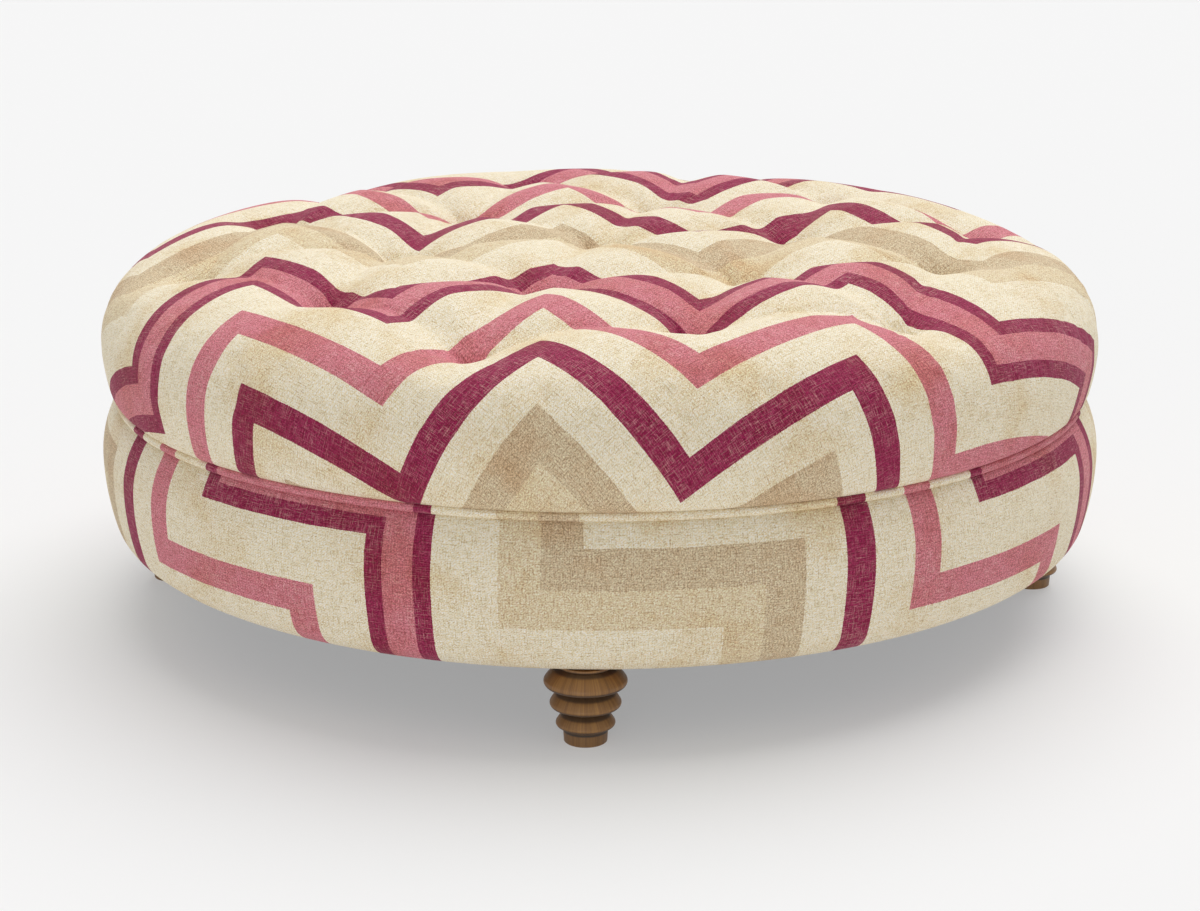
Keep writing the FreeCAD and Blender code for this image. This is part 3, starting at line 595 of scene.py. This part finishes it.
def swollen(mesh, held, cap):
    """Inflate a mesh as cloth that is held where its weights say, each point moving no more than a cap."""
    pad = bpy.data.objects.new("swelling", mesh.copy())
    scene.collection.objects.link(pad)
    group = pad.vertex_groups.new(name="held")
    for index, weight in enumerate(held):
        if weight > 0:
            group.add([index], float(weight), "REPLACE")
    cloth = pad.modifiers.new("cloth", "CLOTH")
    settings = cloth.settings
    settings.quality = SOLVER_STEPS
    settings.tension_stiffness = settings.compression_stiffness = STRETCH_STIFFNESS
    settings.bending_stiffness = BEND_STIFFNESS
    settings.use_pressure, settings.uniform_pressure_force = True, PRESSURE
    settings.effector_weights.gravity = 0
    settings.vertex_group_mass = "held"
    cloth.collision_settings.use_collision = False
    cloth.point_cache.frame_start, cloth.point_cache.frame_end = 1, SIMULATED_FRAMES
    for moment in range(1, SIMULATED_FRAMES + 1):
        scene.frame_set(moment)
    graph = bpy.context.evaluated_depsgraph_get()
    start, end = points_of(mesh), points_of(pad.evaluated_get(graph).data)
    bpy.data.objects.remove(pad)
    scene.frame_set(1)
    moved = end - start
    length = np.linalg.norm(moved, axis=1, keepdims=True)
    return start + moved * (cap * np.tanh(length / cap) / np.maximum(length, MM / 1000))


def cushion():
    bm = spun(SEAT_LINE + [(0, tuck_height)], CUSHION_STEPS)
    source = bpy.data.meshes.new("cushion_form")
    bm.to_mesh(source)
    bm.free()
    mesh = remeshed(source, VOXEL)
    points = points_of(mesh)
    radii, angles = np.hypot(points[:, 0], points[:, 1]), np.arctan2(points[:, 1], points[:, 0])
    spread = run_at(SEAT_LINE, radii, points[:, 2])
    across, along = spread * np.cos(angles) + PRINT_SHIFT.x, spread * np.sin(angles) + PRINT_SHIFT.y
    turn, rise = math.cos(TOP_TURN), math.sin(TOP_TURN)
    lay_cloth(mesh, across * turn - along * rise, across * rise + along * turn)
    # Hand-filled cushions are never quite even
    proud = np.clip((PILLOW_RIM - radii) / PILLOW_FADE, 0, 1) * (points[:, 2] > SEAT_MID)
    uneven = UNEVEN * np.sin(points[:, 0] * 13 + 1) * np.sin(points[:, 1] * 11 + 2)
    points[:, 2] += proud * (PILLOW_RISE + uneven)
    # The lower edge has settled onto the piping
    points[:, 2] -= SETTLED * np.clip((SEAT_MID - points[:, 2]) / (SEAT_MID - tuck_height), 0, 1) ** 2
    away = tuft_distance(points)
    top = points[:, 2] > SEAT_MID
    points[:, 2] -= np.where(top, tufted_depth(points), 0)
    put_points(mesh, points)
    held = np.where(top, np.clip(HELD - away / HELD_REACH, 0, 1), 0)
    held[points[:, 2] < tuck_height + TUCK_SWEEP / 2] = 1
    put_points(mesh, swollen(mesh, held, SWELL_CAP))
    refined(mesh, lambda places: (tuft_distance(places) < 1.2 * PLEAT_RUN) & (places[:, 2] > SEAT_MID))
    points = points_of(mesh)
    points[:, 2] -= np.where(points[:, 2] > SEAT_MID, pleat_depth(points), 0)
    put_points(mesh, points)
    made = bpy.data.objects.new("tufted_cushion", mesh)
    scene.collection.objects.link(made)
    mesh.materials.clear()
    mesh.materials.append(LINEN)
    mesh.polygons.foreach_set("use_smooth", [True] * len(mesh.polygons))
    finer = made.modifiers.new("finer", "SUBSURF")
    finer.levels = finer.render_levels = 1
    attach(made, "root")
    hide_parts("top_cover", "seat_wadding", "seat_foam")


def border():
    bm = spun(BORDER_LINE, BORDER_STEPS)
    made = piece("border_band", bm, LINEN)
    points = points_of(made.data)
    radii, angles = np.hypot(points[:, 0], points[:, 1]), np.arctan2(points[:, 1], points[:, 0]) % FULL_TURN
    along = run_at(BORDER_LINE, radii, points[:, 2]) - BORDER_SHIFT
    lay_cloth(made.data, angles * border_radius, along, FULL_TURN * border_radius)
    wall = made.modifiers.new("cloth_thickness", "SOLIDIFY")
    wall.thickness, wall.offset = CLOTH, -1
    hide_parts("border_cover")


def piping():
    centre = (piping_reach - BEAD, piping_top - BEAD)
    flange_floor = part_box("deck_board")[1].z
    flange = [(FLANGE_INNER, flange_floor + FLANGE_THICK), (FLANGE_INNER, flange_floor)]
    line = arc(centre, BEAD, -160, 172, 16)
    bm = spun(line + flange, PIPING_STEPS, closed=True)
    made = piece("seam_piping", bm, LINEN)
    points = points_of(made.data)
    angles = np.arctan2(points[:, 1], points[:, 0]) % FULL_TURN
    radii = np.hypot(points[:, 0], points[:, 1])
    # The cloth goes on round the bead from where the border ends
    along = runs(BORDER_LINE)[-2] - BORDER_SHIFT + run_at(line, radii, points[:, 2])
    lay_cloth(made.data, angles * border_radius + 4 * MM, along, FULL_TURN * border_radius)
    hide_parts("piping_cover")


def dust_cover():
    """The cloth stapled under the frame, which sags a little between its folded edges."""
    fold, sag = 12 * MM, 3 * MM
    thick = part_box("dust_cover")[1].z - dust_floor
    line = [(r, dust_floor - sag * (1 - (r / TURN_UNDER) ** 2)) for r in np.linspace(0, TURN_UNDER, 16)]
    line += [(r, dust_floor) for r in (dust_radius - fold, dust_radius - fold / 2, dust_radius)]
    bm = spun(line, DUST_CLOTH_STEPS)
    if next(iter(bm.faces)).normal.z > 0:
        bmesh.ops.reverse_faces(bm, faces=bm.faces)
    made = piece("dust_cloth", bm, DUST_CLOTH)
    wall = made.modifiers.new("cloth_thickness", "SOLIDIFY")
    wall.thickness, wall.offset = thick, -1
    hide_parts("dust_cover")


def staples():
    """Staples round the dust cloth's edge, set at a slant."""
    crown = Vector((12 * MM, 1.3 * MM, 0.9 * MM))
    circle, slant = dust_radius - 8 * MM, math.radians(35)
    bm = bmesh.new()
    for index in range(STAPLES):
        angle = FULL_TURN * (index + 0.5) / STAPLES
        where = Vector((circle * math.cos(angle), circle * math.sin(angle), dust_floor - crown.z / 4))
        placed = Matrix.Translation(where) @ Matrix.Rotation(angle + slant, 4, "Z")
        bmesh.ops.create_cube(bm, size=1, matrix=placed @ Matrix.Diagonal((*crown, 1)))
    made = piece("dust_cloth_staples", bm, ZINC, smooth=False)


def finish_nodes():
    """Materials of the pieces that the construction already shows as they are."""
    finishes = {"piping_cord": CORD, "tuft_twines": TWINE, "tuft_toggles": DOWEL, "border_foam": FOAM,
                "border_wadding": WADDING, "cross_rail_lower": TIMBER_ALONG_X}
    finishes.update({name: PLYWOOD for name in ("base_ring", "deck_board", "side_hoop")})
    finishes.update({name: ZINC for name in ("hanger_bolts", "tee_nuts", "deck_screws", "base_screws")})
    # Heights of the painted shade on the legs, in mm, and how dark each band is: over the foot, then in the
    # groove under each ring
    painted_shades = [(-1.0, 12.0, 0.3), (12.0, 17.6, 0.8), (28.0, 38.2, 0.8), (50.0, 60.6, 0.8), (75.5, 78.8, 0.8)]
    for name, node in nodes.items():
        finish = finishes.get(name, TIMBER_ALONG_Y)
        if name.startswith("leg_") and "block" not in name:
            low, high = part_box(name)
            finish = stained_leg_and_painted_shade("stained_wood_painted_shade_" + name, (low + high) / 2,
                                 [(start * MM, end * MM, depth) for start, end, depth in painted_shades])
        node.data.materials.clear()
        node.data.materials.append(finish)


cushion()
border()
piping()
dust_cover()
staples()
finish_nodes()


# Floor, light and camera
FLOOR_SIZE = 60.0
KEY_LIGHT = 2.35
KEY_SPREAD = math.radians(60)
FILL_LIGHT = 0.5
FILL_SPREAD = math.radians(30)
SKY = 0.4
PALE = tone(238, 238, 238)
BACKDROP = 0.9
# Share of the floor's look that no shadow darkens
FLOOR_GLOW = 0.35


def camera_sees(tree):
    """One where the camera sees a surface, straight or through glass or a mirror."""
    path = tree.nodes.new("ShaderNodeLightPath")
    total = path.outputs["Is Camera Ray"]
    for name in ("Is Glossy Ray", "Is Transmission Ray"):
        add = tree.nodes.new("ShaderNodeMath")
        add.operation, add.use_clamp = "ADD", True
        tree.links.new(total, add.inputs[0])
        tree.links.new(path.outputs[name], add.inputs[1])
        total = add.outputs[0]
    return total


def soft_light(name, energy, spread, turn):
    lamp = bpy.data.lights.new(name, "SUN")
    lamp.energy, lamp.angle = energy, spread
    light = bpy.data.objects.new(name, lamp)
    light.rotation_euler = turn
    scene.collection.objects.link(light)


def studio():
    bm = bmesh.new()
    bmesh.ops.create_grid(bm, x_segments=2, y_segments=2, size=FLOOR_SIZE / 2)
    mesh = bpy.data.meshes.new("floor")
    bm.to_mesh(mesh)
    bm.free()
    floor = bpy.data.objects.new("floor", mesh)
    scene.collection.objects.link(floor)
    pale = Finish("pale_floor", Base_Color=PALE, Roughness=0.9, Specular_IOR_Level=0.1)
    glow = pale.node("Emission", Color=tone(242, 242, 242))
    mixed = pale.node("MixShader")
    seen = camera_sees(pale.tree)
    pale.join(mixed, {0: FLOOR_GLOW, 1: pale.shader.outputs[0], 2: glow.outputs[0]})
    # From below, the camera looks through the floor
    through = pale.node("MixShader")
    behind = pale.node("NewGeometry").outputs["Backfacing"]
    pale.join(through, {0: pale.sum("MULTIPLY", seen, behind), 1: mixed.outputs[0],
                        2: pale.node("BsdfTransparent").outputs[0]})
    pale.join(pale.tree.nodes["Material Output"], {"Surface": through.outputs[0]})
    mesh.materials.append(pale.material)

    # The key light hangs overhead, a little behind and to the right. The fill comes low from the front.
    soft_light("key_light", KEY_LIGHT, KEY_SPREAD, (math.radians(-24), math.radians(9), 0))
    soft_light("fill_light", FILL_LIGHT, FILL_SPREAD, (math.radians(84), 0, math.radians(-14)))

    world = bpy.data.worlds.new("studio")
    scene.world = world
    world.use_nodes = True
    tree = world.node_tree
    sky = tree.nodes["Background"]
    sky.inputs["Color"].default_value = (1, 1, 1, 1)
    strength = tree.nodes.new("ShaderNodeMapRange")
    tree.links.new(camera_sees(tree), strength.inputs["Value"])
    strength.inputs["To Min"].default_value = SKY
    strength.inputs["To Max"].default_value = BACKDROP
    tree.links.new(strength.outputs[0], sky.inputs["Strength"])


def photo_camera():
    """The photograph's own view: 16 degrees down, a little to the right of the front leg."""
    distance, elevation, turn = 3.1808, math.radians(16.07), math.radians(1.64)
    target = Vector((0, 0, 148.2 * MM))
    back = Vector((math.sin(turn) * math.cos(elevation), -math.cos(turn) * math.cos(elevation),
                   math.sin(elevation)))
    data = bpy.data.cameras.new("camera")
    data.sensor_width, data.lens = 36, 84.34
    data.clip_end = 100
    camera = bpy.data.objects.new("camera", data)
    camera.location = target + distance * back
    camera.rotation_euler = (-back).to_track_quat("-Z", "Y").to_euler()
    scene.collection.objects.link(camera)
    scene.camera = camera


studio()
photo_camera()
scene.view_settings.view_transform = "Standard"

bpy.context.view_layer.update()
